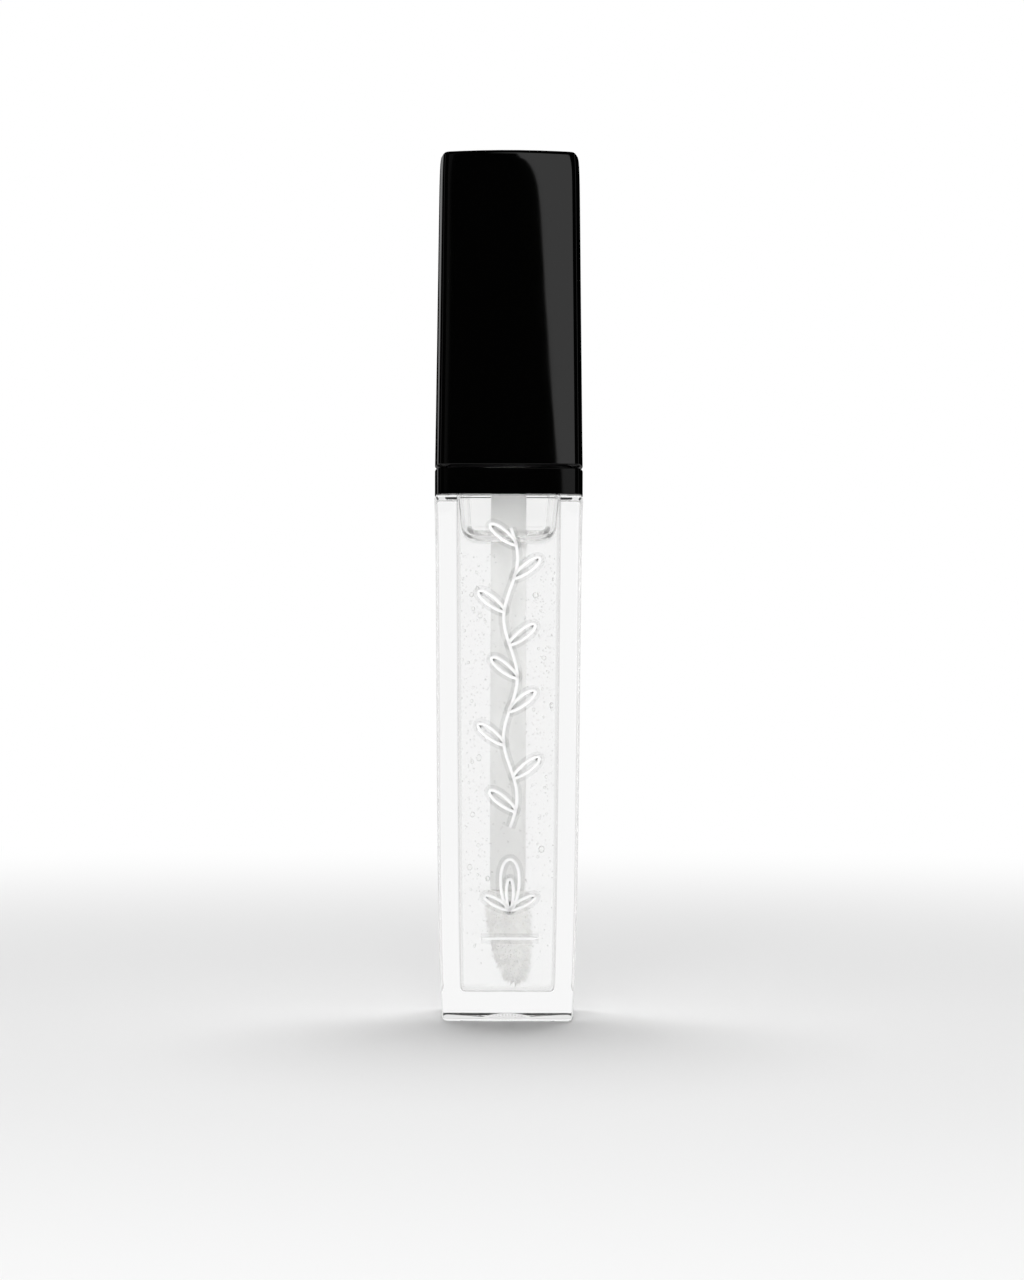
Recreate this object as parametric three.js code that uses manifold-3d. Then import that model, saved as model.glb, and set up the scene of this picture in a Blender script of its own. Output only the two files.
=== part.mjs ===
// A lip gloss tube: a thick-walled clear bottle of soft square section with a screw neck, a black collar
// on its shoulder, a wiper in the neck, and a black screw cap that carries a flocked applicator.
// Millimetres, +Z up. The origin is the centre of the base, and the front of the tube looks along -Y.
import * as THREE from "three";
import { mergeVertices } from "three/addons/utils/BufferGeometryUtils.js";
import Module from "manifold-3d";

const wasm = await Module();
wasm.setup();

// Soft square sections: their faces bulge a little and their corners are round. Radii are for a half width
// of 1.
const bodyFace = 12;
const bodyCorner = 0.055;
const capFace = 6.5;
const capCorner = 0.08;
const arcSegments = 2; // doubled by the shape for each arc
const edgeAngles = [0, 30, 60, 90]; // rings round a rounded edge
const roundSegments = 36;

// Heights
const bodyTop = 58.2; // the clear block, up to the collar
const shoulderTop = 60.3; // the narrower step inside the collar
const neckTop = 70;
const collarBottom = 58.35;
const collarTop = 61.27;
const capBottom = 61.62;
const capTop = 96.6;

// Half widths across the flats
const bodyStart = 7.8; // the straight part of the body's taper, carried down to the base
const bodySlope = 0.0082;
const bodyFlare = 0.41; // how much the body narrows further towards its foot
const bodyLip = 0.11; // how much it widens towards its top edge
const lipReach = 2.5;
const cavityStart = 5.28;
const cavitySlope = 0.0072;
const cavityFlare = 0.2;
const flareReach = 7;
const capBottomHalf = 8.32;
const capTopHalf = 7.88;
const collarHalf = 8.33;
const shoulderHalf = 6.9;

// Rounded edges
const baseEdge = 0.28;
const bodyTopEdge = 0.25;
const ringEdge = 0.12;
const capTopEdge = 0.6;

// Bottle walls and neck
const foot = 1.1; // height of the straight foot
const cavityFloor = 3.18;
const cavityTop = 59.4;
const cavityFace = 60;
const cavityCorner = 0.12;
const cavityEdge = 0.5;
const neckRadius = 5.2;
const boreRadius = 4.2;
const dimple = { radius: 2.7, depth: 0.4 };

// Screw thread: rounded beads on the neck and inside the inner cap
const threadPitch = 2.4;
const stepsPerTurn = 24;
const neckThread = { radius: neckRadius, bead: 0.55, bottom: 63.2, turns: 1.6 };
const capThread = { radius: 6.25, bead: 0.38, bottom: 62.4, turns: 1.1 };
const stopBead = { bottom: 61.36, top: 62, reach: 0.25 }; // holds the collar down on its shoulder

// Fits
const snug = 0.05; // between pieces that stay together
const loose = 0.08; // between the collar and the shoulder
const liquidGap = 0.06; // between the gloss and what it wets

// Cap and applicator
const capWall = 1.17;
const capCeiling = 1.6;
const innerCap = { bottom: 61.42, radius: 6.95, bore: 6.25, deck: 72.5, deckTop: 73.6, socketTop: 92 };
const socket = { bore: 2.25, radius: 3.4, depth: 8.5 };
const rib = { reach: 8.65, thickness: 1.2, bottom: 62.1, top: 73.3 };
const fin = { reach: 6.1, thickness: 1, bottom: 73.2, top: 91.5 };
const wiperFlange = { radius: 5, thickness: 0.62, edge: 0.15 };
const wiper = { skirt: 4.12, bore: 3.45, coneTop: 64, lipBottom: 60.6, lip: 2.05, lipWall: 0.32 };
const rod = { radius: 1.93, bottom: 14.3, head: 4.6, plug: 2.2, plugEdge: 0.4 };
const tang = { radius: 1.05, length: 4.6 };
const tip = { radius: 1.75, bottom: 4.2, taperFrom: 12, power: 2.4, lean: 0.95, leanPower: 1.25 };
const slant = { angle: 0.18, inset: 0.83 }; // flat cut on the doe-foot's side
const flockThickness = 0.6;

const glossTop = 53.4;

// ---- shapes ----

// The section's outline at half width 1: four faces as wide arcs, joined by corner arcs tangent to them.
function softSquare(face, corner) {
  const shift = face - 1;
  const centre = (Math.sqrt(2 * (face - corner) ** 2 - shift ** 2) - shift) / 2;
  const swing = Math.atan2(centre, centre + shift);
  const outline = new THREE.Shape();
  for (let side = 0; side < 4; side++) {
    const turn = (side * Math.PI) / 2;
    const [c, s] = [Math.cos(turn), Math.sin(turn)];
    outline.absarc(-shift * c, -shift * s, face, turn - swing, turn + swing);
    outline.absarc(centre * (c - s), centre * (s + c), corner, turn + swing, turn + Math.PI / 2 - swing);
  }
  return outline;
}

const bodySection = softSquare(bodyFace, bodyCorner);
const capSection = softSquare(capFace, capCorner);
const cavitySection = softSquare(cavityFace, cavityCorner);

// An extrusion whose rings are moved to levels of [height, half width], lowest first.
function loft(outline, levels) {
  const steps = levels.length - 1;
  const options = { depth: steps, steps, bevelEnabled: false, curveSegments: arcSegments };
  const geometry = new THREE.ExtrudeGeometry(outline, options);
  const p = geometry.attributes.position;
  for (let i = 0; i < p.count; i++) {
    const [z, half] = levels[Math.round(p.getZ(i))];
    p.setXYZ(i, p.getX(i) * half, p.getY(i) * half, z);
  }
  return geometry;
}

// A quarter-round edge as [distance along the wall, inset], from the end face to the wall.
function roundedEdge(radius) {
  if (!radius) return [[0, 0]];
  const angles = edgeAngles.map((degrees) => THREE.MathUtils.degToRad(degrees));
  return angles.map((a) => [radius * (1 - Math.cos(a)), radius * (1 - Math.sin(a))]);
}

// Levels of a wall whose half width is half(z), with its lower and upper edges rounded.
function wall(half, low, high, lowRound, highRound, steps) {
  const lower = roundedEdge(lowRound).map(([rise, inset]) => [low + rise, half(low) - inset]);
  const upper = roundedEdge(highRound).map(([drop, inset]) => [high - drop, half(high) - inset]);
  const from = low + lowRound;
  const span = high - highRound - from;
  const levels = lower;
  for (let i = 1; i < steps; i++) {
    const z = from + (span * i) / steps;
    levels.push([z, half(z)]);
  }
  return levels.concat(upper.reverse());
}

const flare = (z) => Math.exp(-Math.max(0, z - foot) / flareReach);
const lip = (z) => bodyLip * Math.exp((z - bodyTop) / lipReach);
const bodyHalf = (z) => bodyStart + bodySlope * z + lip(z) - bodyFlare * flare(z);
const cavityHalf = (z) => cavityStart + cavitySlope * z - cavityFlare * flare(z);

function capHalf(z) {
  const up = Math.max(0, z - capBottom) / (capTop - capBottom);
  return capBottomHalf - (capBottomHalf - capTopHalf) * up;
}

// A solid of revolution about Z: the profile's [radius, height] points run outward, up and back in.
function turned(points) {
  const profile = points.map(([r, z]) => new THREE.Vector2(r, z));
  return new THREE.LatheGeometry(profile, roundSegments).rotateX(Math.PI / 2);
}

function disc(radius, low, high) {
  return turned([
    [0, low],
    [radius, low],
    [radius, high],
    [0, high],
  ]);
}

class Helix extends THREE.Curve {
  constructor({ radius, bottom, turns }) {
    super();
    Object.assign(this, { radius, bottom, turns });
  }
  getPoint(t) {
    const a = t * this.turns * 2 * Math.PI;
    const z = this.bottom + t * this.turns * threadPitch;
    return new THREE.Vector3(this.radius * Math.cos(a), this.radius * Math.sin(a), z);
  }
}

function threadBead(thread) {
  const bead = new THREE.Shape().absarc(0, 0, thread.bead, 0, 2 * Math.PI);
  return new THREE.ExtrudeGeometry(bead, {
    extrudePath: new Helix(thread),
    steps: Math.round(thread.turns * stepsPerTurn),
    curveSegments: 4,
    bevelEnabled: false,
  });
}

// The doe-foot's outline, grown by an offset: a round stem that narrows to a blunt end, leans to one side
// and is cut off on a slant.
function doeFoot(offset, top) {
  const low = tip.bottom - offset;
  const radius = tip.radius + offset;
  const rings = 8;
  const profile = [[0, low]];
  for (let i = 1; i <= rings; i++) {
    const down = Math.cos((i / rings) * (Math.PI / 2)); // 1 at the end, 0 where the taper starts
    profile.push([radius * Math.sqrt(1 - down ** tip.power), tip.taperFrom - down * (tip.taperFrom - low)]);
  }
  profile.push([radius, top], [0, top]);
  const geometry = turned(profile);
  const p = geometry.attributes.position;
  for (let i = 0; i < p.count; i++) {
    const down = THREE.MathUtils.clamp((tip.taperFrom - p.getZ(i)) / (tip.taperFrom - tip.bottom), 0, 1);
    p.setX(i, p.getX(i) + tip.lean * down ** tip.leanPower);
  }
  const cutter = new THREE.BoxGeometry(4, 12, 24)
    .translate(-2 - tip.radius * slant.inset - offset, 0, 0)
    .rotateY(-slant.angle)
    .translate(0, 0, tip.taperFrom - 2);
  return solid(geometry).subtract(solid(cutter));
}

// ---- joining and cutting ----

function solid(geometry) {
  const bare = new THREE.BufferGeometry().setAttribute("position", geometry.getAttribute("position"));
  bare.setIndex(geometry.index);
  const merged = mergeVertices(bare, 1e-4);
  const triVerts = new Uint32Array(merged.index.array);
  const vertProperties = merged.attributes.position.array;
  return new wasm.Manifold(new wasm.Mesh({ numProp: 3, vertProperties, triVerts }));
}

function geometryOf(manifold) {
  const mesh = manifold.getMesh();
  const geometry = new THREE.BufferGeometry();
  geometry.setAttribute("position", new THREE.BufferAttribute(mesh.vertProperties, 3));
  geometry.setIndex(new THREE.BufferAttribute(mesh.triVerts, 1));
  geometry.computeVertexNormals();
  return geometry;
}

// ---- the bottle and what stays with it ----

// Clear block, shoulder step and screw neck in one piece, hollow from the neck down, with a dimpled base.
function bottle() {
  const root = bodyTop - 5; // the upper steps are rooted inside the block
  const footLevels = roundedEdge(baseEdge).map(([rise, inset]) => [rise, bodyHalf(0) - inset]);
  const blockLevels = footLevels.concat(wall(bodyHalf, foot, bodyTop, 0, bodyTopEdge, 10));
  const block = solid(loft(bodySection, blockLevels));
  const shoulder = solid(loft(bodySection, wall(() => shoulderHalf, root, shoulderTop, 0, ringEdge, 1)));
  const neck = solid(disc(neckRadius, root, neckTop));
  const cavityLevels = wall(cavityHalf, cavityFloor, cavityTop, cavityEdge, cavityEdge, 7);
  const cavity = solid(loft(cavitySection, cavityLevels));
  return block
    .add(shoulder)
    .add(neck)
    .add(solid(turned(stopBeadProfile())))
    .add(solid(threadBead(neckThread)))
    .subtract(cavity)
    .subtract(solid(disc(boreRadius, root, neckTop + 1)))
    .subtract(solid(turned(dimpleProfile())));
}

function stopBeadProfile() {
  const { bottom, top, reach } = stopBead;
  return [
    [0, bottom],
    [neckRadius, bottom],
    [neckRadius + reach, (bottom + top) / 2],
    [neckRadius, top],
    [0, top],
  ];
}

function dimpleProfile() {
  const { radius, depth } = dimple;
  const curve = [0.75, 0.5, 0.25].map((t) => [radius * t, depth * (1 - t ** 2)]);
  return [[0, -1], [radius, -1], [radius, 0], ...curve, [0, depth]];
}

// A shallow square cup upside down on the shoulder, with a round hole for the neck.
function collar() {
  const hollowHalf = shoulderHalf + loose;
  const outsideLevels = wall(() => collarHalf, collarBottom, collarTop, ringEdge, ringEdge, 1);
  const hollowLevels = wall(() => hollowHalf, collarBottom - 1, shoulderTop + loose, 0, 0, 1);
  const outside = solid(loft(capSection, outsideLevels));
  const hollow = solid(loft(bodySection, hollowLevels));
  const hole = solid(disc(neckRadius + loose, collarBottom - 1, collarTop + 1));
  return outside.subtract(hollow).subtract(hole);
}

const wiperTop = neckTop + snug + wiperFlange.thickness;

// A flange on the neck's rim, a skirt down the bore and a cone that wipes the rod.
function wiperProfile() {
  return [
    [wiper.lip, wiper.lipBottom],
    [wiper.lip + wiper.lipWall, wiper.lipBottom],
    [wiper.skirt, wiper.coneTop - 0.4],
    [wiper.skirt, neckTop + snug],
    [wiperFlange.radius, neckTop + snug],
    [wiperFlange.radius, wiperTop - wiperFlange.edge],
    [wiperFlange.radius - wiperFlange.edge, wiperTop],
    [wiper.bore + wiperFlange.edge, wiperTop],
    [wiper.bore, wiperTop - wiperFlange.edge],
    [wiper.bore, wiper.coneTop],
    [wiper.lip, wiper.lipBottom + 0.6],
    [wiper.lip, wiper.lipBottom],
  ];
}

// The liquid up to its level, with the room that the rod and the flocked tip take.
function gloss() {
  const inside = (z) => cavityHalf(z) - liquidGap;
  const fill = solid(loft(cavitySection, wall(inside, cavityFloor + liquidGap, glossTop, cavityEdge, 0, 7)));
  const rodRoom = solid(disc(rod.radius + liquidGap, rod.bottom - 1, glossTop + 1));
  return fill.subtract(rodRoom).subtract(doeFoot(flockThickness + liquidGap, rod.bottom + liquidGap));
}

// ---- the cap and what it carries ----

function capShell() {
  const inside = (z) => capHalf(z) - capWall;
  const outside = solid(loft(capSection, wall(capHalf, capBottom, capTop, ringEdge, capTopEdge, 6)));
  const hollow = solid(loft(capSection, wall(inside, capBottom - 1, capTop - capCeiling, 0, 0, 6)));
  return outside.subtract(hollow);
}

// A threaded skirt under a deck, a tall socket for the rod, corner ribs and fins.
function threadedInsert() {
  const socketEnd = innerCap.deckTop + socket.depth;
  let insert = solid(
    turned([
      [0, socketEnd],
      [socket.bore, socketEnd],
      [socket.bore, innerCap.deck],
      [innerCap.bore, innerCap.deck],
      [innerCap.bore, innerCap.bottom],
      [innerCap.radius, innerCap.bottom],
      [innerCap.radius, innerCap.deckTop],
      [socket.radius, innerCap.deckTop],
      [socket.radius, innerCap.socketTop],
      [0, innerCap.socketTop],
    ]),
  );
  const rooted = 0.4; // how far the plates reach into the round walls
  for (let i = 0; i < 4; i++) {
    const quarter = (i * Math.PI) / 2;
    insert = insert.add(solid(radialPlate(rib, innerCap.radius - rooted, quarter + Math.PI / 4)));
    insert = insert.add(solid(radialPlate(fin, socket.radius - rooted, quarter)));
  }
  const skirtBody = solid(disc(innerCap.radius - rooted / 2, innerCap.bottom, innerCap.deckTop));
  return insert.add(solid(threadBead(capThread)).intersect(skirtBody));
}

function radialPlate({ reach, thickness, bottom, top }, from, angle) {
  return new THREE.BoxGeometry(reach - from, thickness, top - bottom)
    .translate((reach + from) / 2, 0, (top + bottom) / 2)
    .rotateZ(angle);
}

// A round rod with a flange under the deck, a plug in the socket and a hole in its end for the tip's tang.
function rodProfile() {
  const flangeTop = innerCap.deck - snug;
  const plugTop = innerCap.deckTop + socket.depth - 0.3;
  const holeTop = rod.bottom + tang.length + 0.4;
  return [
    [0, holeTop],
    [tang.radius + snug, holeTop],
    [tang.radius + snug, rod.bottom],
    [rod.radius, rod.bottom],
    [rod.radius, wiperTop + snug],
    [rod.head, wiperTop + snug],
    [rod.head, flangeTop],
    [rod.plug, flangeTop],
    [rod.plug, plugTop - rod.plugEdge],
    [rod.plug - rod.plugEdge, plugTop],
    [0, plugTop],
  ];
}

function applicatorTip() {
  const stemTop = rod.bottom - snug;
  return doeFoot(0, stemTop).add(solid(disc(tang.radius, stemTop - 1, stemTop + tang.length)));
}

function flock() {
  return doeFoot(flockThickness, rod.bottom - snug).subtract(doeFoot(snug, rod.bottom + 1));
}

// ---- materials ----

const plastic = (color, roughness) => new THREE.MeshStandardMaterial({ color, roughness, metalness: 0 });

function clear(color, roughness) {
  const material = plastic(color, roughness);
  material.transparent = true;
  material.opacity = 0.3;
  return material;
}

const tube = new THREE.Group();

function add(name, geometry, material) {
  const mesh = new THREE.Mesh(geometry, material);
  mesh.name = name;
  tube.add(mesh);
}

add("bottle", geometryOf(bottle()), clear(0xf6f7f7, 0.05));
add("shoulder_collar", geometryOf(collar()), plastic(0x050505, 0.12));
add("wiper", turned(wiperProfile()), plastic(0xe9e9e6, 0.45));
add("gloss", geometryOf(gloss()), clear(0xf8f8f6, 0.05));
add("cap_shell", geometryOf(capShell()), plastic(0x050505, 0.1));
add("inner_cap", geometryOf(threadedInsert()), plastic(0x151515, 0.5));
add("applicator_rod", turned(rodProfile()), plastic(0xdcdcda, 0.4));
add("applicator_tip", geometryOf(applicatorTip()), plastic(0xe9e9e6, 0.5));
add("flock", geometryOf(flock()), plastic(0xd9d8d2, 0.95));

export default tube;
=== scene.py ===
import math
import random

import bmesh
import bpy
from mathutils import Matrix, Vector


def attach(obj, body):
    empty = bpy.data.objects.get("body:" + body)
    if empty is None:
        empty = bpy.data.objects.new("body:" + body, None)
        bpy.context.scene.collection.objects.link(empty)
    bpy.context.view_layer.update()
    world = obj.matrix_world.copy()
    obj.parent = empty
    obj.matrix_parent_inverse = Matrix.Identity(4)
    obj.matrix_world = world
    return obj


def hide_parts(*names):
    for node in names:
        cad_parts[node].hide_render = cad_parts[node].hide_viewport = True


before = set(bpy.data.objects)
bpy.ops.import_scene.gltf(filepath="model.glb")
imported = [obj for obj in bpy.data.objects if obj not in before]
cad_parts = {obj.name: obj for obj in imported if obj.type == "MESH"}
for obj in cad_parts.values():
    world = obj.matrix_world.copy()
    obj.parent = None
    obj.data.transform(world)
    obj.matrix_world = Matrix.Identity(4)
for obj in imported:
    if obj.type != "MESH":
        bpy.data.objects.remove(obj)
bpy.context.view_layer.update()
mm = 0.001
random.seed(11)


def note(text):
    print("scene:", text)


# Shader helpers

class Wire:
    # One output socket of a node tree. Sums and products of wires and numbers add Math nodes.
    def __init__(self, tree, socket):
        self.tree = tree
        self.socket = socket

    def combine(self, operation, first, second):
        return addNode(self.tree, "ShaderNodeMath", {"operation": operation}, {0: first, 1: second})

    def __add__(self, other):
        return self.combine("ADD", self, other)

    def __sub__(self, other):
        return self.combine("SUBTRACT", self, other)

    def __mul__(self, other):
        return self.combine("MULTIPLY", self, other)

    def __gt__(self, other):
        return self.combine("GREATER_THAN", self, other)

    def __rsub__(self, other):
        return self.combine("SUBTRACT", other, self)

    __radd__ = __add__
    __rmul__ = __mul__

    def clamped(self):
        return addNode(self.tree, "ShaderNodeClamp", {}, {0: self})


def addNode(tree, kind, settings, inputs, output=0):
    # Any node: its settings first, then a value or a link for each socket that is named.
    node = tree.nodes.new(kind)
    for name, value in settings.items():
        setattr(node, name, value)
    for name, value in inputs.items():
        if isinstance(value, Wire):
            tree.links.new(value.socket, node.inputs[name])
        else:
            node.inputs[name].default_value = value
    return Wire(tree, node.outputs[output])


def gray(level):
    return (level, level, level, 1)


def newMaterial(name, constants):
    # A Principled material with its constant sockets set; the tree and the shader are returned for the rest.
    material = bpy.data.materials.new(name)
    material.use_nodes = True
    tree = material.node_tree
    shader = tree.nodes["Principled BSDF"]
    for socket, value in constants.items():
        shader.inputs[socket].default_value = value
    return material, tree, shader


def placeCoords(tree):
    return addNode(tree, "ShaderNodeTexCoord", {}, {}, "Object")


def noise(tree, scale, detail=2.0):
    where = placeCoords(tree)
    return addNode(tree, "ShaderNodeTexNoise", {}, {"Vector": where, "Scale": scale, "Detail": detail})


def bump(tree, shader, height, distance):
    normal = addNode(tree, "ShaderNodeBump", {}, {"Height": height, "Distance": distance})
    tree.links.new(normal.socket, shader.inputs["Normal"])


def feed(tree, shader, socket, wire):
    tree.links.new(wire.socket, shader.inputs[socket])


# Camera, lights and floor, in millimetres, watts and degrees

studio = {
    "camera": (0.41, -390.3, 41.5),
    "lens": 97.3,
    "shiftY": 0.0051,
    "roll": 0.16,
    "sunStrength": 2.6,
    "sunAngle": 36,
    "sunFrom": 20,
    "panelSize": (130, 800),
    "panelAt": (178, -590, 150),
    "panelLean": 30,
    "panelPower": 0.32,
    "turnedPower": 0.09,
    "glintSize": (26, 800),
    "glintAt": (-176, -590, 150),
    "glintPower": 0.006,
    "fillSize": (300, 160),
    "fillAt": (-60, -620, 105),
    "fillPower": 2.6,
    "openLevel": 0.13,
    "wallLevel": 4.7,
    "zenithLevel": 0.2,
    "insideLevel": 0.84,
    "clearLevel": 0.95,
    "darkLevel": 0.0008,
    "floorHalf": 3000,
    "floorFade": (60, 330),
    "floorLevel": 0.78,
    "mirroredFloor": 0.35,
    "mirroredFade": 0.7,
    "floorDrop": 0.03,
    "aimHeight": 70,
}


def makeCamera():
    data = bpy.data.cameras.new("camera")
    data.lens = studio["lens"]
    data.shift_y = studio["shiftY"]
    data.clip_start = 0.01
    camera = bpy.data.objects.new("camera", data)
    bpy.context.scene.collection.objects.link(camera)
    place = Matrix.Translation(Vector(studio["camera"]) * mm)
    level = Matrix.Rotation(math.pi / 2, 4, "X")
    camera.matrix_world = place @ level @ Matrix.Rotation(math.radians(studio["roll"]), 4, "Z")
    bpy.context.scene.camera = camera


def makeLights():
    sun = bpy.data.lights.new("overhead", "SUN")
    sun.energy = studio["sunStrength"]
    sun.angle = math.radians(studio["sunAngle"])
    sunObject = bpy.data.objects.new("overhead", sun)
    bpy.context.scene.collection.objects.link(sunObject)
    sunObject.rotation_euler.x = math.radians(-studio["sunFrom"])
    panel = areaLight("sidePanel", "panel", studio["panelLean"])
    glint = areaLight("leftPanel", "glint", 0)
    fill = areaLight("frontFill", "fill", 0)
    sunObject.visible_glossy = fill.visible_glossy = False  # the black pieces mirror only the panels
    others = [areaLight(f"sidePanel{turn}", "panel", studio["panelLean"], turn) for turn in (90, 180, 270)]
    for light in others:
        light.data.energy = studio["turnedPower"]
        light.visible_diffuse = False  # they only give the other faces of the cap something to mirror
    for light in (sunObject, panel, glint, fill, *others):
        light.visible_transmission = False
        light.visible_camera = False


def areaLight(name, key, leanAngle, turn=0):
    light = bpy.data.lights.new(name, "AREA")
    light.shape = "RECTANGLE"
    light.size, light.size_y = (size * mm for size in studio[key + "Size"])
    light.energy = studio[key + "Power"]
    lamp = bpy.data.objects.new(name, light)
    bpy.context.scene.collection.objects.link(lamp)
    at = Vector(studio[key + "At"]) * mm
    facing = (Vector((0, 0, studio["aimHeight"])) * mm - at).to_track_quat("-Z", "Y").to_matrix().to_4x4()
    lean = Matrix.Rotation(math.radians(leanAngle), 4, "Z")
    around = Matrix.Rotation(math.radians(turn), 4, "Z")
    lamp.matrix_world = around @ Matrix.Translation(at) @ facing @ lean
    return lamp


def rayFacts(tree):
    # What a ray is: matt light, a look through the clear pieces or off them, and how dim the latter is.
    path = tree.nodes.new("ShaderNodeLightPath")
    fact = lambda name: Wire(tree, path.outputs[name])
    camera = fact("Is Camera Ray")
    matt = fact("Diffuse Depth") > 0.5
    clear = (fact("Is Transmission Ray") + fact("Is Singular Ray") * (1 - camera)) > 0.5
    level = (1 - (fact("Glossy Depth") > 0.5) * (1 - studio["insideLevel"])) * studio["clearLevel"]
    return camera, matt, clear, level


def makeSky():
    # White for what is seen directly or through the clear pieces, dimmer after a reflection inside them.
    # Matt pieces inside are lit by bright walls under a dim ceiling, and glossy ones mirror a dark studio.
    world = bpy.data.worlds.new("sky")
    bpy.context.scene.world = world
    world.use_nodes = True
    tree = world.node_tree
    camera, matt, clear, level = rayFacts(tree)
    aim = addNode(tree, "ShaderNodeTexCoord", {}, {})
    height = addNode(tree, "ShaderNodeSeparateXYZ", {}, {"Vector": aim}, 2)
    walls = addNode(tree, "ShaderNodeMapRange", {"interpolation_type": "SMOOTHSTEP"},
                    {"Value": height, "From Min": 0.5, "From Max": 0.85, "To Min": studio["wallLevel"],
                     "To Max": studio["zenithLevel"]})
    lit = matt * (clear * walls + (1 - clear) * studio["openLevel"])
    seen = (1 - matt) * (clear * level + (1 - clear) * (1 - camera) * studio["darkLevel"])
    tree.links.new((camera + lit + seen).socket, tree.nodes["Background"].inputs["Strength"])
    tree.nodes["Background"].inputs["Color"].default_value = (1, 1, 1, 1)


def makeFloor():
    bm = bmesh.new()
    bmesh.ops.create_grid(bm, x_segments=1, y_segments=1, size=studio["floorHalf"] * mm)
    mesh = bpy.data.meshes.new("floor")
    bm.to_mesh(mesh)
    bm.free()
    floor = bpy.data.objects.new("floor", mesh)
    floor.location.z = -studio["floorDrop"] * mm  # keeps it off the base
    bpy.context.scene.collection.objects.link(floor)
    material, tree, shader = newMaterial("paleFloor", {"Roughness": 0.8, "Specular IOR Level": 0.0,
                                                       "Emission Strength": 1.0})
    # the floor fades into the white background
    near, far = studio["floorFade"]
    away = addNode(tree, "ShaderNodeVectorMath", {"operation": "LENGTH"}, {0: placeCoords(tree)}, 1)
    fade = addNode(tree, "ShaderNodeMapRange", {"interpolation_type": "SMOOTHSTEP"},
                   {"Value": away, "From Min": near * mm, "From Max": far * mm})
    # through the clear pieces it is as white as the background, and the glossy ones mirror it dimly
    camera, matt, clear, level = rayFacts(tree)
    white = (fade + clear * (1 - matt)).clamped()
    shown = (camera + matt + clear).clamped()
    lit = shown * (1 - white)
    full = (camera + matt).clamped()
    glow = shown * white * (full + (1 - full) * level) * (1 + matt * clear * (studio["wallLevel"] - 1))
    glow = glow + (1 - shown) * studio["mirroredFloor"] * (1 - fade * studio["mirroredFade"])
    color = addNode(tree, "ShaderNodeMix", {"data_type": "RGBA"},
                    {"Factor": lit, "A": gray(0), "B": gray(studio["floorLevel"])}, 2)
    light = addNode(tree, "ShaderNodeVectorMath", {"operation": "SCALE"}, {0: (1, 1, 1), "Scale": glow})
    feed(tree, shader, "Base Color", color)
    feed(tree, shader, "Emission Color", light)
    floor.data.materials.append(material)


scene = bpy.context.scene
scene.view_settings.view_transform = "Standard"
scene.view_settings.look = "None"
scene.cycles.max_bounces = 24
scene.cycles.transmission_bounces = 24
scene.cycles.glossy_bounces = 8
scene.cycles.diffuse_bounces = 4
makeCamera()
makeLights()
makeSky()
makeFloor()
note("camera, lights and floor")


# Shape helpers. Sizes are in millimetres until a piece is finished.

perSide = 20  # places on a quarter of a ring: on a face, close together at its ends, then on a corner
faceShares = (0, 0.012, 0.1, 0.25, 0.42, 0.58, 0.75, 0.9, 0.988)
facePlaces = len(faceShares)
ringSize = 4 * perSide


def softSquare(face, corner):
    # Where a ring's places lie on a soft square of half width 1: arc faces joined by tangent corner arcs.
    shift = face - 1
    centre = (math.sqrt(2 * (face - corner) ** 2 - shift ** 2) - shift) / 2
    swing = math.atan2(centre, centre + shift)
    spots = []
    for place in range(ringSize):
        side, step = divmod(place, perSide)
        if step < facePlaces:
            angle = swing * (2 * faceShares[step] - 1)
            spot = Vector((face * math.cos(angle) - shift, face * math.sin(angle), 0))
        else:
            angle = swing + (math.pi / 2 - 2 * swing) * (step - facePlaces) / (perSide - facePlaces)
            spot = Vector((centre + corner * math.cos(angle), centre + corner * math.sin(angle), 0))
        spots.append(Matrix.Rotation(side * math.pi / 2, 3, "Z") @ spot)
    return spots


def placeAngle(place):
    return 2 * math.pi * (place - facePlaces / 2) / ringSize


bodyFace = 12
bodySquare = softSquare(bodyFace, 0.055)
capSquare = softSquare(6.5, 0.08)
cavitySquare = softSquare(60, 0.12)
circle = [Vector((math.cos(placeAngle(i)), math.sin(placeAngle(i)), 0)) for i in range(ringSize)]


def rounded(corners, steps=5):
    # A profile of (size, height, radius, section) whose corners with a radius become arcs. A level just
    # beyond each end of an arc keeps the walls beside it flat to the light.
    profile = []
    for i, (size, height, radius, section) in enumerate(corners):
        here = Vector((size, height))
        if not radius:
            profile.append((size, height, section))
            continue
        toLast = (Vector(corners[i - 1][:2]) - here).normalized()
        toNext = (Vector(corners[i + 1][:2]) - here).normalized()
        half = toLast.angle(toNext) / 2
        centre = here + (toLast + toNext).normalized() * radius / math.sin(half)
        reach = radius / math.tan(half)
        start, end = here + toLast * reach - centre, here + toNext * reach - centre
        arc = [centre + start.slerp(end, step / steps).normalized() * radius for step in range(steps + 1)]
        arc = [here + toLast * (reach + 0.02)] + arc + [here + toNext * (reach + 0.02)]
        profile += [(spot.x, spot.y, section) for spot in arc]
    return profile


def wallLevels(half, heights, section):
    # Plain levels of a wall whose half width at a height is half(height).
    return [(half(height), height, 0, section) for height in heights]


def ringAt(size, height, section):
    return [Vector((spot.x * size, spot.y * size, height)) for spot in section]


def ringsOf(profile):
    return [ringAt(*level) for level in profile]


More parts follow.
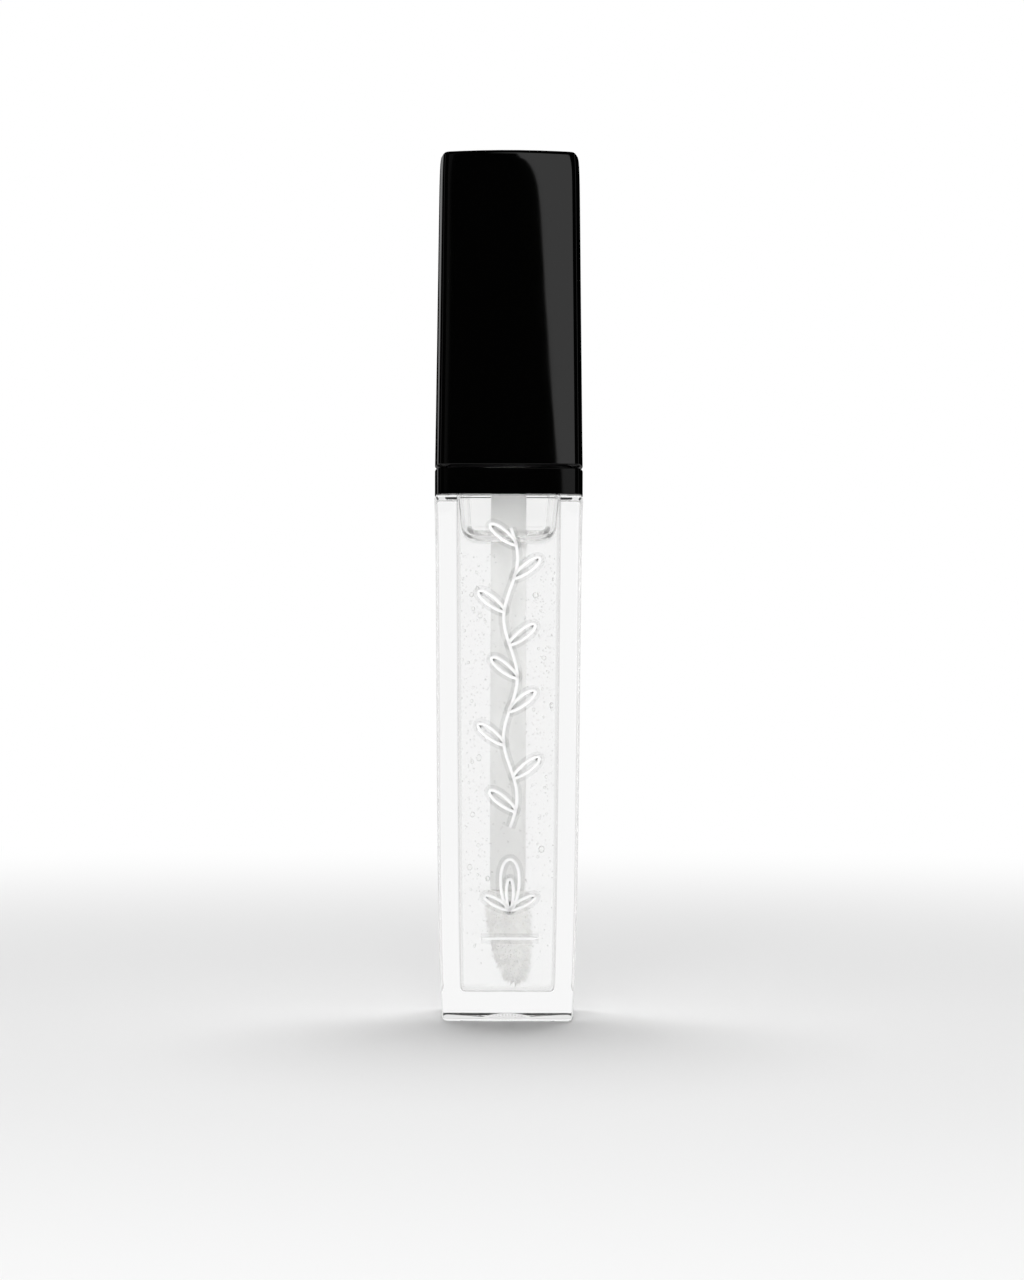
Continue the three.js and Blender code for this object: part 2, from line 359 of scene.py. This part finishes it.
def loft(bm, rings):
    # A ring that is extruded level by level; a ring of size 0 closes into a pole.
    placeLayer = bm.verts.layers.int.get("place") or bm.verts.layers.int.new("place")
    verts = bmesh.ops.create_circle(bm, segments=ringSize, radius=1)["verts"]
    for place, vert in enumerate(verts):
        vert[placeLayer] = place
        vert.co = rings[0][place]
    edges = list({edge for vert in verts for edge in vert.link_edges})
    made = list(verts)
    for ring in rings[1:]:
        grown = bmesh.ops.extrude_edge_only(bm, edges=edges)["geom"]
        verts = {item for item in grown if isinstance(item, bmesh.types.BMVert)}
        edges = [item for item in grown if isinstance(item, bmesh.types.BMEdge)
                 and item.verts[0] in verts and item.verts[1] in verts]
        for vert in verts:
            vert.co = ring[vert[placeLayer]]
        made += verts
    bmesh.ops.remove_doubles(bm, verts=made, dist=1e-4)


def finishPiece(bm, name, material, body, node=None, sharp=40):
    bmesh.ops.recalc_face_normals(bm, faces=bm.faces)
    bmesh.ops.scale(bm, vec=(mm, mm, mm), verts=bm.verts)
    mesh = bpy.data.meshes.new(name)
    bm.to_mesh(mesh)
    bm.free()
    mesh.shade_smooth()
    if sharp:
        mesh.set_sharp_from_angle(angle=math.radians(sharp))
    piece = bpy.data.objects.new(name, mesh)
    bpy.context.scene.collection.objects.link(piece)
    mesh.materials.append(material)
    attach(piece, body)
    if node:
        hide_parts(node)
    note(f"{name}: {len(mesh.polygons)} faces")
    return piece


levelGap = 0.12  # between the rings of a threaded wall
runOut = 0.12  # share of a turn over which a bead fades at its ends


def threadRings(radius, screw, side):
    # Rings of a round wall that carries a helical bead, outwards or inwards by side.
    bead, turns, low, high = screw["bead"], screw["turns"], screw["low"], screw["high"]
    rings = []
    count = round((high - low) / levelGap)
    for level in range(count + 1):
        height = low + (high - low) * level / count
        ring = []
        for place in range(ringSize):
            share = (placeAngle(place) / (2 * math.pi)) % 1
            rise = 0
            for winding in range(math.ceil(turns)):
                turn = share + winding
                fade = max(0, min(1, turn / runOut, (turns - turn) / runOut))
                off = (height - screw["bottom"] - screw["pitch"] * turn) / bead
                rise = max(rise, fade * bead * max(0, 1 - off ** 2) ** 0.6)
            ring.append(circle[place] * (radius + side * rise) + Vector((0, 0, height)))
        rings.append(ring)
    return rings


# The clear bottle

bottle = {
    "top": 58.2,
    "straight": (7.8, 0.0082),
    "lip": 0.11,
    "lipReach": 2.5,
    "flare": 0.41,
    "flareReach": 7.0,
    "baseEdge": 0.28,
    "foot": 1.1,
    "topEdge": 0.2,
    "dimple": 2.7,
    "dimpleDepth": 0.45,
    "shoulder": 6.9,
    "shoulderTop": 60.3,
    "neck": 5.2,
    "neckTop": 70,
    "stopBead": (61.36, 61.68, 62.0),
    "stopReach": 0.25,
    "bore": 4.2,
    "floor": 3.18,
    "ceiling": 59.4,
    "cavity": (5.28, 0.0072),
    "cavityFlare": 0.2,
}
thread = {"bead": 0.55, "bottom": 63.2, "pitch": 2.4, "turns": 1.6, "low": 62.2, "high": 68.4}


def flareAt(height):
    return math.exp(-max(0, height - bottle["foot"]) / bottle["flareReach"])


def bodyHalf(height):
    base, slope = bottle["straight"]
    lip = bottle["lip"] * math.exp((height - bottle["top"]) / bottle["lipReach"])
    return base + slope * height + lip - bottle["flare"] * flareAt(height)


def cavityHalf(height):
    base, slope = bottle["cavity"]
    return base + slope * height - bottle["cavityFlare"] * flareAt(height)


def between(low, high, count):
    return [low + (high - low) * (i + 1) / (count + 1) for i in range(count)]


def clearMaterial(name, tint, index):
    constants = {"Base Color": tint, "Roughness": 0.0, "IOR": index, "Transmission Weight": 1.0}
    return newMaterial(name, constants)[0]


def dimpleRings():
    # A shallow dish with a fine cross-hatched floor, from the centre out.
    rings = []
    radius, depth = bottle["dimple"], bottle["dimpleDepth"]
    for step in range(19):
        reach = radius * step / 18
        dish = depth * (1 - (reach / radius) ** 2)
        ring = []
        for spot in circle:
            hatch = math.sin(spot.x * reach * 9) * math.sin(spot.y * reach * 9)
            fade = min(1, 3 * (1 - reach / radius)) * min(1, 4 * reach / radius)
            ring.append(spot * reach + Vector((0, 0, dish + 0.045 * hatch * fade)))
        rings.append(ring)
    return rings


def makeBottle():
    b = bottle
    stopLow, stopMiddle, stopTop = b["stopBead"]
    outside = [
        (b["dimple"], 0, 0, circle),
        (bodyHalf(0), 0, b["baseEdge"], bodySquare),
        (bodyHalf(b["foot"]), b["foot"], 0, bodySquare),
    ]
    outside += wallLevels(bodyHalf, between(b["foot"], b["top"] - 0.6, 24), bodySquare)
    outside += [
        (bodyHalf(b["top"]), b["top"], b["topEdge"], bodySquare),
        (b["shoulder"], b["top"], 0.1, bodySquare),
        (b["shoulder"], b["shoulderTop"], 0.15, bodySquare),
        (b["neck"], b["shoulderTop"], 0.12, circle),
        (b["neck"], stopLow, 0, circle),
        (b["neck"] + b["stopReach"], stopMiddle, 0.12, circle),
        (b["neck"], stopTop, 0, circle),
    ]
    rim = [
        (b["neck"], 68.6, 0, circle),
        (b["neck"], b["neckTop"], 0.15, circle),
        (b["bore"], b["neckTop"], 0.12, circle),
        (b["bore"], b["ceiling"] + 0.5, 0.3, circle),
        (cavityHalf(b["ceiling"]), b["ceiling"], 0.6, cavitySquare),
    ]
    rim += wallLevels(cavityHalf, between(b["floor"] + 1, b["ceiling"] - 1, 20)[::-1], cavitySquare)
    rim += [(cavityHalf(b["floor"]), b["floor"], 0.5, cavitySquare), (0, b["floor"], 0, circle)]
    neck = threadRings(b["neck"], thread, 1)
    bm = bmesh.new()
    loft(bm, dimpleRings() + ringsOf(rounded(outside)) + neck + ringsOf(rounded(rim)))
    material = clearMaterial("clearPlastic", (0.995, 0.996, 0.996, 1), 1.54)
    return finishPiece(bm, "clearBottle", material, "vial", "bottle")


makeBottle()


# The gloss and its bubbles

gloss = {"overlap": 0.02, "low": 53.1, "climb": 58.0, "film": 0.06, "bend": 2.0, "corner": 0.3, "slope": 0.5,
         "rodClimb": 0.7, "rod": 1.95, "flat": 3.1}


def makeGloss():
    # The liquid fills the cavity. Its surface is a bowl that climbs the walls and, a little, the rod.
    g = gloss
    floor = bottle["floor"] - g["overlap"]
    wall = lambda z: cavityHalf(z) + g["overlap"]
    profile = [(0, floor, 0, circle), (wall(floor), floor, 0.5, cavitySquare)]
    profile += wallLevels(wall, between(floor + 1, g["climb"] - 0.5, 20), cavitySquare)
    profile += [(wall(g["climb"]), g["climb"], 0.01, cavitySquare)]
    # the air pocket above it is a rounded column: a film is left on the walls
    pocket = softSquare(30, g["corner"])
    inner = wall(g["climb"]) - g["film"]
    profile += [
        (inner, g["climb"], 0.02, pocket),
        (inner - g["slope"], g["low"], g["bend"], pocket),
        (g["flat"], g["low"], 0, pocket),
    ]
    rings = ringsOf(rounded(profile, 9))
    for size in (2.9, 2.7, 2.5, 2.3, 2.12, 2.0, 1.9, 1.0, 0):
        rise = g["rodClimb"] * math.exp(-max(0, size - g["rod"]) / 0.35)
        section = [a.lerp(b, min(1, (g["flat"] - size) / 0.8)) for a, b in zip(pocket, circle)]
        rings.append(ringAt(size, g["low"] + rise, section))
    bm = bmesh.new()
    loft(bm, rings)
    material = clearMaterial("clearGloss", (0.998, 0.998, 0.995, 1), 1.49)
    return finishPiece(bm, "glossLiquid", material, "vial", "gloss")


def scatter(bm, template, places):
    # A copy of the template mesh at each place.
    for place in places:
        copy = template.copy()
        copy.transform(place)
        bm.from_mesh(copy)
        bpy.data.meshes.remove(copy)


def templateOf(make):
    bm = bmesh.new()
    make(bm)
    mesh = bpy.data.meshes.new("template")
    bm.to_mesh(mesh)
    bm.free()
    return mesh


bubbles = {
    "small": (1100, 0.03, 0.09, 0.7),  # how many, smallest, largest, and how far down they gather
    "medium": (80, 0.1, 0.17, 0.6),
    "large": (16, 0.2, 0.34, 0.9),
    "low": 6,
    "rise": 46,
    "wallGap": 0.2,
    "rodGap": 2.7,
    "cornerReach": 1.22,
}


def bubblePlace(radius, bias):
    b = bubbles
    while True:
        height = b["low"] + b["rise"] * random.random() ** bias
        reach = cavityHalf(height) - radius - b["wallGap"]
        x, y = random.uniform(-reach, reach), random.uniform(-reach, reach)
        if b["rodGap"] + radius < math.hypot(x, y) < reach * b["cornerReach"]:
            break
    squash = (random.uniform(0.85, 1.1), random.uniform(0.85, 1.1), random.uniform(0.9, 1.35))
    size = Matrix.Diagonal((radius * squash[0], radius * squash[1], radius * squash[2], 1))
    return Matrix.Translation((x, y, height)) @ size


def makeBubbles():
    bm = bmesh.new()
    coarse = templateOf(lambda t: bmesh.ops.create_uvsphere(t, u_segments=8, v_segments=6, radius=1))
    middle = templateOf(lambda t: bmesh.ops.create_icosphere(t, subdivisions=2, radius=1))
    fine = templateOf(lambda t: bmesh.ops.create_icosphere(t, subdivisions=3, radius=1))
    for size, template in (("small", coarse), ("medium", middle), ("large", fine)):
        count, smallest, largest, bias = bubbles[size]
        scatter(bm, template, [bubblePlace(random.uniform(smallest, largest), bias) for _ in range(count)])
    material = clearMaterial("bubbleAir", (0.97, 0.97, 0.965, 1), 1.3)
    return finishPiece(bm, "glossBubbles", material, "vial", None, sharp=0)


makeGloss()
makeBubbles()


# The ornament on the front

ornament = {"stroke": 0.34, "halo": 1.15, "low": 21.5, "high": 54.6, "swing": 0.75, "waves": 2.5, "leaves": 9,
            "leafLength": 3.6, "leafWidth": 1.15, "centre": 0.25, "rule": 6.4, "ruleHeight": 9.2,
            "inkLift": 0.02, "haloLift": 0.005, "thickness": 0.02, "budHeight": 12.4,
            "petals": ((90, 5.6, 2.4), (90, 3.4, 0.9), (28, 3.2, 0.9), (152, 3.2, 0.9))}


def frontFace(x, height):
    # How far forward the front of the bottle is.
    half = bodyHalf(height)
    return (bodyFace - 1) * half - math.sqrt((bodyFace * half) ** 2 - x ** 2)


def stemAt(share):
    o = ornament
    swing = o["swing"] * math.sin(2 * math.pi * o["waves"] * share)
    return Vector((o["centre"] + swing, o["low"] + (o["high"] - o["low"]) * share))


def petal(root, angle, length, width):
    # A closed almond outline that starts and ends at its root.
    along = Vector((math.cos(angle), math.sin(angle)))
    across = Vector((-along.y, along.x))

    def outline(share):
        turn = 2 * math.pi * share
        reach = (1 - math.cos(turn)) / 2
        return root + along * length * reach + across * width / 2 * math.sin(turn) * (0.7 + 0.3 * reach)
    return outline


def ornamentCurves():
    # A vine with leaves in turn to each side, a bud under it, and a short line.
    o = ornament
    curves = [(stemAt, 120)]
    for leaf in range(o["leaves"]):
        share = (leaf + 0.5) / o["leaves"]
        angle = math.radians(38 if leaf % 2 else 142)
        curves.append((petal(stemAt(share), angle, o["leafLength"], o["leafWidth"]), 40))
    heart = Vector((o["centre"], o["budHeight"]))
    for angle, length, width in o["petals"]:
        curves.append((petal(heart, math.radians(angle), length, width), 40))
    rule = lambda share: Vector((o["centre"] + (share - 0.5) * o["rule"], o["ruleHeight"]))
    return curves + [(rule, 12)]


def ribbon(bm, curve, count, width, lift):
    # A thin strip that follows a curve on the bottle's front.
    strip = bmesh.ops.create_grid(bm, x_segments=count, y_segments=1, size=1)["verts"]
    for vert in strip:
        share, side = (vert.co.x + 1) / 2, vert.co.y
        ahead = curve(min(share + 0.004, 1)) - curve(max(share - 0.004, 0))
        spot = curve(share) + Vector((-ahead.y, ahead.x)).normalized() * side * width / 2
        vert.co = (spot.x, frontFace(spot.x, spot.y) - lift, spot.y)
    faces = list({face for vert in strip for face in vert.link_faces})
    grown = bmesh.ops.extrude_face_region(bm, geom=faces, use_keep_orig=True)["geom"]
    top = [item for item in grown if isinstance(item, bmesh.types.BMVert)]
    bmesh.ops.translate(bm, vec=(0, -ornament["thickness"], 0), verts=top)


def makeOrnament():
    o = ornament
    white, tree, shader = newMaterial("whiteInk", {"Roughness": 0.4, "Base Color": gray(0.95)})
    bump(tree, shader, noise(tree, 3000, 2), 0.000004)
    # The pale sheet around the strokes is a painted drop shadow: a faint grey see-through band that stands
    # for shade beside the print, not part of the print.
    pale, tree, shader = newMaterial("paintedHaloShadow", {"Roughness": 0.5, "Base Color": gray(0.4)})
    feed(tree, shader, "Alpha", 0.04 + 0.02 * noise(tree, 250, 2))
    for name, material, width, lift in (("frontHaloShadow", pale, o["halo"], o["haloLift"]),
                                        ("frontOrnament", white, o["stroke"], o["inkLift"])):
        bm = bmesh.new()
        for curve, count in ornamentCurves():
            ribbon(bm, curve, count, width, lift)
        finishPiece(bm, name, material, "vial", None, sharp=0)


makeOrnament()


# The black collar and cap

collar = {"half": 8.33, "bottom": 58.36, "top": 61.27, "edge": 0.09, "inner": 7.0, "deck": 60.38, "hole": 5.4}
cap = {"bottom": 61.62, "top": 96.45, "half": 8.32, "narrowing": 0.44, "power": 0.95, "edge": 0.42,
       "lip": 0.12, "crown": 0.13, "crownReach": 1.3, "dome": 0.003, "wall": 1.17, "ceiling": 94.5}


def blackPlastic(name, level, roughness, wave, shine=0.5):
    material, tree, shader = newMaterial(name, {"Base Color": gray(level), "Specular IOR Level": shine})
    cloud = noise(tree, 160, 3)
    feed(tree, shader, "Roughness", roughness + 0.04 * cloud)
    bump(tree, shader, noise(tree, 90, 1), wave)
    return material


def capHalf(height):
    up = max(0, height - cap["bottom"]) / (cap["top"] - cap["bottom"])
    crown = cap["crown"] * math.exp((height - cap["top"]) / cap["crownReach"])
    return cap["half"] - cap["narrowing"] * up ** cap["power"] - crown


def makeCollar(material):
    c = collar
    corners = [
        (c["inner"], c["bottom"], 0.0, bodySquare),
        (c["half"], c["bottom"], c["edge"], capSquare),
        (c["half"], c["top"], c["edge"], capSquare),
        (c["hole"], c["top"], 0.1, circle),
        (c["hole"], c["deck"], 0, circle),
        (c["inner"], c["deck"], 0.1, bodySquare),
        (c["inner"], c["bottom"], 0.0, bodySquare),
    ]
    bm = bmesh.new()
    loft(bm, ringsOf(rounded(corners)))
    return finishPiece(bm, "shoulderCollar", material, "vial", "shoulder_collar")


def makeCap(material):
    c = cap
    innerHalf = lambda height: capHalf(height) - c["wall"]
    mouth = (innerHalf(c["bottom"]), c["bottom"], 0, capSquare)
    corners = [mouth, (c["half"], c["bottom"], c["lip"], capSquare)]
    corners += wallLevels(capHalf, between(c["bottom"] + 0.5, c["top"] - 4, 14), capSquare)
    corners += wallLevels(capHalf, between(c["top"] - 4.2, c["top"] - 0.6, 12), capSquare)
    corners += [(capHalf(c["top"]), c["top"], c["edge"], capSquare)]
    corners += [(capHalf(c["top"]) * share, c["top"], 0, capSquare) for share in (0.85, 0.7, 0.5, 0.3, 0.15)]
    corners += [(0, c["top"], 0, capSquare)]
    rings = ringsOf(rounded(corners, 7))
    for ring in rings:
        for spot in ring:
            lift = max(0, min(1, (spot.z - c["top"] + 4) / 4))
            reach = math.hypot(spot.x, spot.y)
            spot.z += lift ** 2 * c["dome"] * (capHalf(c["top"]) ** 2 - reach ** 2)
    inside = [(0, c["ceiling"], 0, capSquare), (innerHalf(c["ceiling"]), c["ceiling"], 0.3, capSquare)]
    inside += wallLevels(innerHalf, between(c["bottom"], c["ceiling"] - 1, 6)[::-1], capSquare)
    inside += [mouth]
    bm = bmesh.new()
    loft(bm, rings)
    loft(bm, ringsOf(rounded(inside)))
    bmesh.ops.remove_doubles(bm, verts=bm.verts, dist=1e-4)
    return finishPiece(bm, "capShell", material, "cap", "cap_shell")


makeCollar(blackPlastic("collarBlack", 0.0006, 0.03, 0.00002, 0.2))
makeCap(blackPlastic("capBlack", 0.0006, 0.03, 0.00002))


# What the cap carries

insert = {"bottom": 61.42, "radius": 6.95, "bore": 6.25, "deck": 72.5, "deckTop": 73.6, "socket": 3.4,
          "socketTop": 92, "socketBore": 2.25, "socketDepth": 8.5, "gripTop": 66.6, "lead": 61.9}
grip = {"bead": 0.38, "bottom": 62.4, "pitch": thread["pitch"], "turns": 1.1, "low": 62.0, "high": 66.5}
plates = (  # reach, start, thickness, low, high and turn of the ribs and of the fins
    (8.6, 6.6, 1.2, 62.1, 73.3, math.pi / 4),
    (6.1, 3.1, 1.0, 73.7, 91.5, 0),
)
rod = {"radius": 1.93, "bottom": 14.3, "head": 4.6, "flangeLow": 70.72, "flangeTop": 72.45, "plug": 2.2,
       "plugTop": 81.8, "hole": 1.1, "holeTop": 19.3}
tip = {"radius": 1.75, "bottom": 4.2, "taperFrom": 12, "power": 2.4, "lean": 0.95, "leanPower": 1.25,
       "cutAngle": 0.18, "cut": 1.45, "root": 14.25, "tang": 1.05, "tangTop": 18.8}
flock = {"sleeve": 0.22, "fibres": 1900, "length": (0.4, 0.88), "thickness": 0.06, "gap": 0.05, "sunk": 0.08,
         "spread": 0.3, "droop": -0.45, "glow": 0.11}


def makeInsert(material):
    n = insert
    bm = bmesh.new()
    top = n["deckTop"] + n["socketDepth"]
    upper = [
        (0, top, 0, circle),
        (n["socketBore"], top, 0.1, circle),
        (n["socketBore"], n["deck"], 0, circle),
        (n["bore"], n["deck"], 0.2, circle),
        (n["bore"], n["gripTop"], 0, circle),
    ]
    lower = [
        (n["bore"], n["lead"], 0, circle),
        (n["bore"] + 0.15, n["bottom"], 0, circle),
        (n["radius"], n["bottom"], 0.1, circle),
        (n["radius"], n["deckTop"], 0.15, circle),
        (n["socket"], n["deckTop"], 0.3, circle),
        (n["socket"], n["socketTop"], 0.3, circle),
        (0, n["socketTop"], 0, circle),
    ]
    threaded = threadRings(n["bore"], grip, -1)
    loft(bm, ringsOf(rounded(upper)) + threaded[::-1] + ringsOf(rounded(lower)))
    for quarter in range(4):
        for reach, start, thick, low, high, offset in plates:
            plate = bmesh.ops.create_cube(bm, size=1)["verts"]
            bmesh.ops.scale(bm, vec=(reach - start, thick, high - low), verts=plate)
            edges = list({edge for vert in plate for edge in vert.link_edges})
            bmesh.ops.translate(bm, vec=((reach + start) / 2, 0, (high + low) / 2), verts=plate)
            turn = Matrix.Rotation(quarter * math.pi / 2 + offset, 3, "Z")
            bmesh.ops.rotate(bm, cent=(0, 0, 0), matrix=turn, verts=plate)
            bmesh.ops.bevel(bm, geom=edges, offset=0.12, affect="EDGES", segments=2, profile=0.5, material=-1)
    return finishPiece(bm, "threadedInsert", material, "cap", "inner_cap")


def makeRod(material):
    r = rod
    corners = [
        (0, r["holeTop"], 0, circle),
        (r["hole"], r["holeTop"], 0, circle),
        (r["hole"], r["bottom"], 0.1, circle),
        (r["radius"], r["bottom"], 0.15, circle),
    ]
    corners += wallLevels(lambda height: r["radius"], between(r["bottom"] + 1, r["flangeLow"] - 1, 6), circle)
    corners += [
        (r["radius"], r["flangeLow"], 0.15, circle),
        (r["head"], r["flangeLow"], 0.15, circle),
        (r["head"], r["flangeTop"], 0.15, circle),
        (r["plug"], r["flangeTop"], 0.1, circle),
        (r["plug"], r["plugTop"], 0.4, circle),
        (0, r["plugTop"], 0, circle),
    ]
    bm = bmesh.new()
    loft(bm, ringsOf(rounded(corners)))
    return finishPiece(bm, "applicatorRod", material, "wand", "applicator_rod")


def doeFootRing(offset, height):
    # The slanted foot's section at a height, grown by an offset.
    low = tip["bottom"] - offset
    down = max(0, (tip["taperFrom"] - height) / (tip["taperFrom"] - low))
    radius = (tip["radius"] + offset) * math.sqrt(max(0, 1 - down ** tip["power"]))
    lean = tip["lean"] * down ** tip["leanPower"]
    cut = -(tip["cut"] + offset) + math.tan(tip["cutAngle"]) * (tip["taperFrom"] - 2 - height)
    ring = []
    for spot in circle:
        x = spot.x * radius + lean
        ring.append(Vector((max(x, min(cut, lean + radius * 0.6)), spot.y * radius, height)))
    return ring


def doeFootRings(offset):
    high = tip["taperFrom"]
    low = tip["bottom"] - offset
    heights = [high - (high - low) * math.cos(step / 24 * math.pi / 2) for step in range(25)]
    return [doeFootRing(offset, height) for height in heights + [high + 1, tip["root"]]]


def makeTip(material):
    bm = bmesh.new()
    t = tip
    tang = [
        (t["tang"], t["root"], 0, circle),
        (t["tang"], t["tangTop"], 0.15, circle),
        (0, t["tangTop"], 0, circle),
    ]
    loft(bm, doeFootRings(0) + ringsOf(rounded(tang)))
    return finishPiece(bm, "applicatorTip", material, "cap", "applicator_tip")


def cornersOf(face):
    # A face's corners, starting from the least, whatever order the operators left them in.
    corners = [tuple(vert.co) for vert in face.verts]
    first = corners.index(min(corners))
    return corners[first:] + corners[:first]


def fibrePlaces(faces):
    # Places on the sleeve's faces, chosen by area, each turned outwards and a little down.
    places = []
    spread = flock["spread"]
    for face in random.choices(faces, [face.calc_area() for face in faces], k=flock["fibres"]):
        across, up = random.random(), random.random()
        corners = [Vector(corner) for corner in cornersOf(face)]
        if len(corners) < 4:
            corners.append(corners[-1])
        point = corners[0].lerp(corners[1], across).lerp(corners[3].lerp(corners[2], across), up)
        strays = (random.gauss(0, spread), random.gauss(0, spread), random.gauss(flock["droop"], spread))
        aim = face.normal + Vector(strays)
        turn = aim.normalized().to_track_quat("Z", "X").to_matrix().to_4x4()
        length = random.uniform(*flock["length"])
        stretch = Matrix.Diagonal((flock["thickness"], flock["thickness"], length, 1))
        places.append(Matrix.Translation(point - face.normal * flock["sunk"]) @ turn @ stretch)
    return places


def makeFlock(material):
    # A felted sleeve over the tip, and fibres that stand out of it.
    bm = bmesh.new()
    outer = doeFootRings(flock["sleeve"])
    inner = doeFootRings(flock["gap"])
    loft(bm, outer + [ringAt(0, tip["root"], circle)])
    bmesh.ops.recalc_face_normals(bm, faces=bm.faces)
    sides = sorted((face for face in bm.faces if face.normal.z < 0.9), key=cornersOf)  # the same in every run
    places = fibrePlaces(sides)
    bm.clear()
    loft(bm, outer + inner[::-1])
    cone = templateOf(lambda t: bmesh.ops.create_cone(t, cap_ends=True, segments=3, radius1=1, radius2=0.3,
                                                      depth=1, matrix=Matrix.Translation((0, 0, 0.5))))
    scatter(bm, cone, places)
    return finishPiece(bm, "flockedSleeve", material, "cap", "flock", sharp=0)


def softPlastic(name, tint, roughness, grain):
    material, tree, shader = newMaterial(name, {"IOR": 1.5})
    cloud = noise(tree, 300, 3)
    color = addNode(tree, "ShaderNodeMix", {"data_type": "RGBA"},
                    {"Factor": cloud, "A": tint, "B": tuple(c * 0.94 for c in tint[:3]) + (1,)}, 2)
    feed(tree, shader, "Base Color", color)
    feed(tree, shader, "Roughness", roughness + 0.1 * cloud)
    bump(tree, shader, noise(tree, 4000, 2), grain)
    return material


insertBlack = blackPlastic("insertBlack", 0.012, 0.35, 0.00001)
frostedRod = softPlastic("frostedRod", (0.88, 0.88, 0.87, 1), 0.5, 0.00001)
tipWhite = softPlastic("tipWhite", (0.9, 0.9, 0.88, 1), 0.5, 0.00001)
flockWhite = softPlastic("flockWhite", (0.96, 0.955, 0.94, 1), 0.6, 0.00001)
makeInsert(insertBlack)
makeRod(frostedRod)
makeTip(tipWhite)
# painted light: the flock's emission strength (glow) makes it glow so it looks brighter, though it is no lamp
flockWhite.node_tree.nodes["Principled BSDF"].inputs["Emission Strength"].default_value = flock["glow"]
makeFlock(flockWhite)


# The wiper in the neck

wiper = {"skirt": 4.12, "bore": 3.45, "flange": 5.0, "low": 70.05, "top": 70.67, "cone": 64, "lip": 2.05,
         "lipLow": 60.6}


def makeWiper(material):
    w = wiper
    corners = [
        (w["lip"], w["lipLow"], 0, circle),
        (w["lip"] + 0.3, w["lipLow"], 0.08, circle),
        (w["skirt"], w["cone"] - 0.4, 0.4, circle),
        (w["skirt"], w["low"], 0.05, circle),
        (w["flange"], w["low"], 0.1, circle),
        (w["flange"], w["top"], 0.15, circle),
        (w["bore"], w["top"], 0.2, circle),
        (w["bore"], w["cone"], 0.4, circle),
        (w["lip"], w["lipLow"] + 0.6, 0.1, circle),
        (w["lip"], w["lipLow"], 0, circle),
    ]
    bm = bmesh.new()
    loft(bm, ringsOf(rounded(corners)))
    return finishPiece(bm, "neckWiper", material, "vial", "wiper")


makeWiper(softPlastic("wiperPlastic", (0.86, 0.86, 0.84, 1), 0.35, 0.00001))
